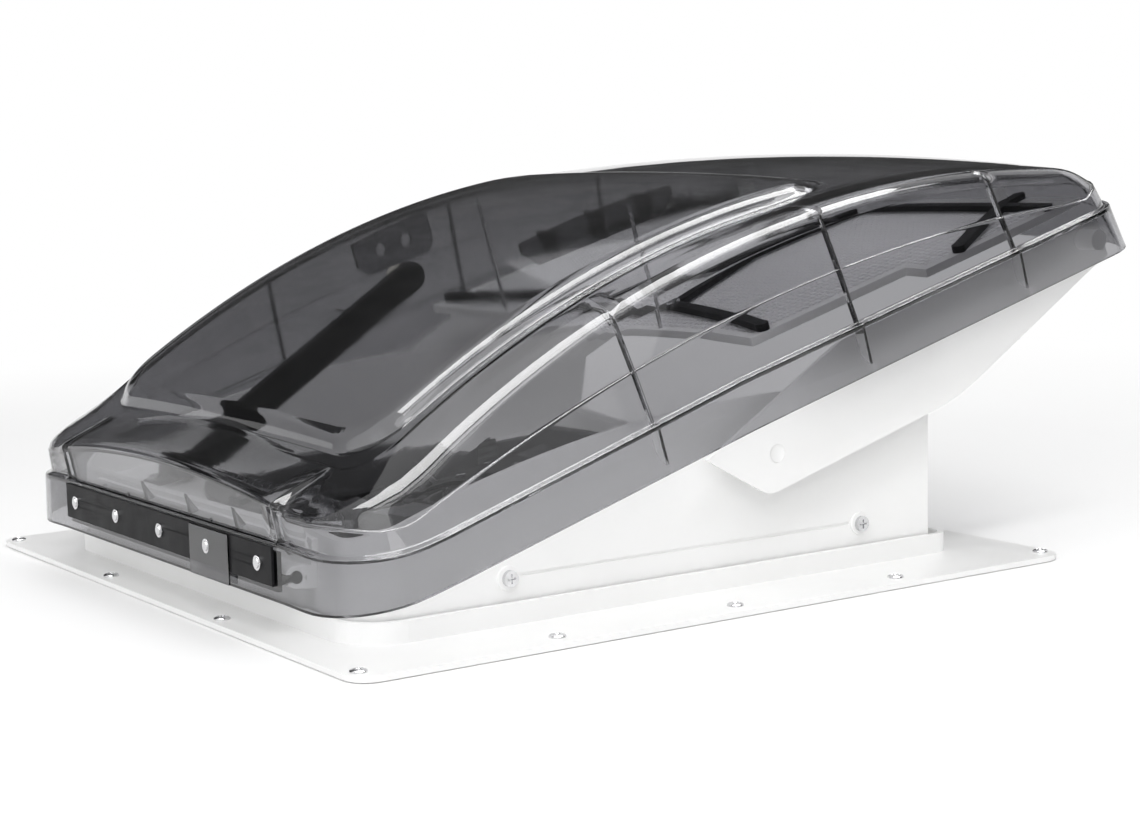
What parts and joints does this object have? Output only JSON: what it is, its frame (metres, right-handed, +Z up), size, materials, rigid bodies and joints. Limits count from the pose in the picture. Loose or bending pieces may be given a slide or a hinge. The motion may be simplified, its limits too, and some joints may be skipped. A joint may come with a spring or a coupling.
{
  "type": "caravan roof vent",
  "caption": "Powered roof vent: square screw-down flange, white base, hinged smoke lid raised at the rear, folding side rain shields, exhaust net and fan.",
  "frame": {"origin": "middle of the underside of the roof flange, on the roof surface", "axes": "+X from the hinge end to the exhaust end, +Z up from the roof"},
  "size_m": [0.5412, 0.457, 0.2279],
  "materials": {
    "white_plastic": "smooth white moulded plastic",
    "smoke_plastic": "glossy see-through grey plastic",
    "black_plastic": "black moulded plastic",
    "grey_plastic": "dark grey moulded plastic",
    "steel": "bright plated steel",
    "mesh_metal": "grey metal net",
    "foam": "black closed-cell foam",
    "nylon": "natural nylon",
    "board": "green circuit board"
  },
  "bodies": {
    "vent": {"mounting_flange": "white_plastic", "base_seal": "foam", "base_housing": "white_plastic", "side_screws": "steel", "fan_shroud": "grey_plastic", "shroud_screws": "steel", "motor_bracket": "black_plastic", "bracket_screws": "steel", "fan_motor": "steel", "motor_screws": "steel", "insect_screen_frame": "white_plastic", "insect_screen": "mesh_metal", "control_box": "white_plastic", "control_panel": "white_plastic", "circuit_board": "board", "hinge_channel": "white_plastic", "channel_screws": "steel", "lift_bearings": "grey_plastic", "bearing_screws": "steel", "lift_motor": "grey_plastic"},
    "fan": {"motor_shaft": "steel", "fan_impeller": "grey_plastic", "fan_nut": "steel"},
    "lift": {"lift_shaft": "steel", "lift_arm": "black_plastic", "arm_shoe": "nylon"},
    "lid_body": {"lid": "smoke_plastic", "hinge_strip": "black_plastic", "hinge_cover": "black_plastic", "hinge_rivets": "steel", "lift_bracket": "smoke_plastic", "ceiling_rib": "smoke_plastic", "screen_frame": "white_plastic", "exhaust_screen": "mesh_metal", "screen_brace": "black_plastic", "brace_rivets": "steel", "screen_hangers": "steel", "shield_pivots": "white_plastic"},
    "screen_latch_1_body": {"screen_latch_1": "grey_plastic"},
    "screen_latch_2_body": {"screen_latch_2": "grey_plastic"},
    "screen_latch_3_body": {"screen_latch_3": "grey_plastic"},
    "screen_latch_4_body": {"screen_latch_4": "grey_plastic"},
    "button_power_body": {"button_power": "grey_plastic"},
    "button_speed_body": {"button_speed": "grey_plastic"},
    "button_lid_body": {"button_lid": "grey_plastic"},
    "rain_shield_left_body": {"rain_shield_left": "white_plastic"},
    "rain_shield_right_body": {"rain_shield_right": "white_plastic"}
  },
  "joints": [
    {"name": "lid_hinge", "type": "hinge", "parent": "vent", "child": "lid_body", "pos_m": [-0.206, 0, 0.033], "axis": [0, 1, 0], "range_deg": [0, 16]},
    {"name": "lift_turn", "type": "hinge", "parent": "vent", "child": "lift", "pos_m": [-0.16, 0, 0.055], "axis": [0, 1, 0], "range_deg": [0, 20.42]},
    {"name": "fan_spin", "type": "hinge", "parent": "vent", "child": "fan", "pos_m": [-0.012, 0, 0.026], "axis": [0, 0, 1], "continuous": true},
    {"name": "shield_fold_left", "type": "hinge", "parent": "lid_body", "child": "rain_shield_left_body", "pos_m": [0.27864, 0.19, 0.17717], "axis": [0, 1, 0], "range_deg": [0, 13.1]},
    {"name": "shield_fold_right", "type": "hinge", "parent": "lid_body", "child": "rain_shield_right_body", "pos_m": [0.27864, -0.19, 0.17717], "axis": [0, 1, 0], "range_deg": [0, 13.1]},
    {"name": "latch_turn_1", "type": "hinge", "parent": "vent", "child": "screen_latch_1_body", "pos_m": [0.151, 0, 0.007], "axis": [0, 0, 1], "range_deg": [0, 90]},
    {"name": "latch_turn_2", "type": "hinge", "parent": "vent", "child": "screen_latch_2_body", "pos_m": [-0.012, 0.163, 0.007], "axis": [0, 0, 1], "range_deg": [0, 90]},
    {"name": "latch_turn_3", "type": "hinge", "parent": "vent", "child": "screen_latch_3_body", "pos_m": [-0.175, 0, 0.007], "axis": [0, 0, 1], "range_deg": [0, 90]},
    {"name": "latch_turn_4", "type": "hinge", "parent": "vent", "child": "screen_latch_4_body", "pos_m": [-0.012, -0.163, 0.007], "axis": [0, 0, 1], "range_deg": [0, 90]},
    {"name": "press_power", "type": "slide", "parent": "vent", "child": "button_power_body", "axis": [0, 0, 1], "range_m": [0, 0.0015], "stiffness_N_per_m": 600},
    {"name": "press_speed", "type": "slide", "parent": "vent", "child": "button_speed_body", "axis": [0, 0, 1], "range_m": [0, 0.0015], "stiffness_N_per_m": 600},
    {"name": "press_lid", "type": "slide", "parent": "vent", "child": "button_lid_body", "axis": [0, 0, 1], "range_m": [0, 0.0015], "stiffness_N_per_m": 600}
  ],
  "couplings": [
    {"joint": "lift_turn", "follows": "lid_hinge", "ratio": 1.27},
    {"joint": "shield_fold_left", "follows": "lid_hinge", "ratio": 0.8125},
    {"joint": "shield_fold_right", "follows": "lid_hinge", "ratio": 0.8125}
  ]
}
